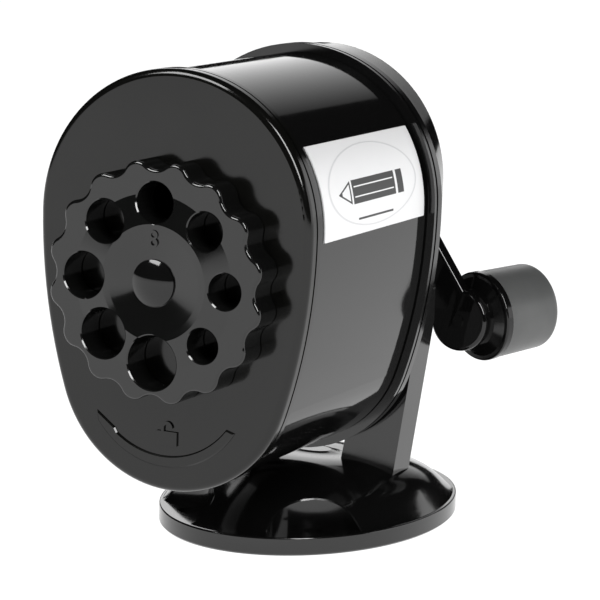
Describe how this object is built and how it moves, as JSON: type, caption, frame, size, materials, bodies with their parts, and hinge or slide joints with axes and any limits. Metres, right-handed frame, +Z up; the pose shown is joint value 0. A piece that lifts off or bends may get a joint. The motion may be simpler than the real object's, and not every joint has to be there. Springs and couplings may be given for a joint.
{
  "type": "manual crank pencil sharpener",
  "caption": "Manual crank pencil sharpener with an egg-shaped shavings drum, a dial of pencil holes and an oval screw-down stand.",
  "frame": {"origin": "centre of the stand's underside", "axes": "+Z up; the pencil goes in along +Y, so the dial faces -Y and the crank is at +Y; the label is on the +X side"},
  "size_m": [0.0835, 0.1204, 0.1119],
  "materials": {
    "stand_plastic": "gloss black moulding",
    "gear_steel": "machined",
    "bush_brass": "turned",
    "plain_steel": "zinc plated",
    "carrier_cast": "as cast",
    "cutter_steel": "hardened and milled",
    "arm_black": "gloss black paint",
    "arm_black_plastic": "satin black",
    "knob_grey": "satin grey",
    "drum_plastic": "gloss black",
    "plate_plastic": "satin-gloss black",
    "label_foil": "silver foil with a printed pencil sign",
    "dial_plastic": "satin-gloss black",
    "spring_steel": "rolled"
  },
  "bodies": {
    "stand": {"stand": "stand_plastic", "ring_gear": "gear_steel", "shaft_bush": "bush_brass", "thrust_washer": "plain_steel"},
    "crank": {"crank_shaft": "plain_steel", "cutter_carrier": "carrier_cast", "pencil_guide": "carrier_cast", "cutter_pin_right": "plain_steel", "cutter_pin_left": "plain_steel", "crank_arm": "arm_black", "crank_washer": "plain_steel", "crank_screw": "plain_steel", "knob_stud": "plain_steel"},
    "cutter_right": {"cutter_right": "cutter_steel", "pinion_right": "gear_steel"},
    "cutter_left": {"cutter_left": "cutter_steel", "pinion_left": "gear_steel"},
    "knob": {"knob_flange": "arm_black_plastic", "knob_grip": "knob_grey"},
    "receptacle": {"receptacle_drum": "drum_plastic", "front_plate": "plate_plastic", "label": "label_foil", "dial_pivot": "dial_plastic", "dial_spring_washer": "plain_steel", "detent_ball": "plain_steel", "detent_spring": "spring_steel"},
    "dial": {"dial": "dial_plastic"}
  },
  "joints": [
    {"name": "crank_turn", "type": "hinge", "parent": "stand", "child": "crank", "pos_m": [0, 0.01, 0.0829], "axis": [0, 1, 0], "continuous": true},
    {"name": "cutter_right_spin", "type": "hinge", "parent": "crank", "child": "cutter_right", "pos_m": [0, 0.04379, 0.0829], "axis": [-0.1374, 0.9905, 0], "continuous": true},
    {"name": "cutter_left_spin", "type": "hinge", "parent": "crank", "child": "cutter_left", "pos_m": [0, 0.04379, 0.0829], "axis": [0.1374, 0.9905, 0], "continuous": true},
    {"name": "knob_spin", "type": "hinge", "parent": "crank", "child": "knob", "pos_m": [0.03087, 0.01313, 0.04739], "axis": [0.4057, 0.9113, 0.0698], "continuous": true},
    {"name": "drum_twist", "type": "hinge", "parent": "stand", "child": "receptacle", "pos_m": [0, -0.01, 0.0829], "axis": [0, 1, 0], "range_deg": [0, 22]},
    {"name": "dial_turn", "type": "hinge", "parent": "receptacle", "child": "dial", "pos_m": [0, -0.0723, 0.0658], "axis": [0, 1, 0], "continuous": true}
  ],
  "couplings": [
    {"joint": "cutter_right_spin", "follows": "crank_turn", "ratio": -2.3333},
    {"joint": "cutter_left_spin", "follows": "crank_turn", "ratio": -2.3333}
  ]
}
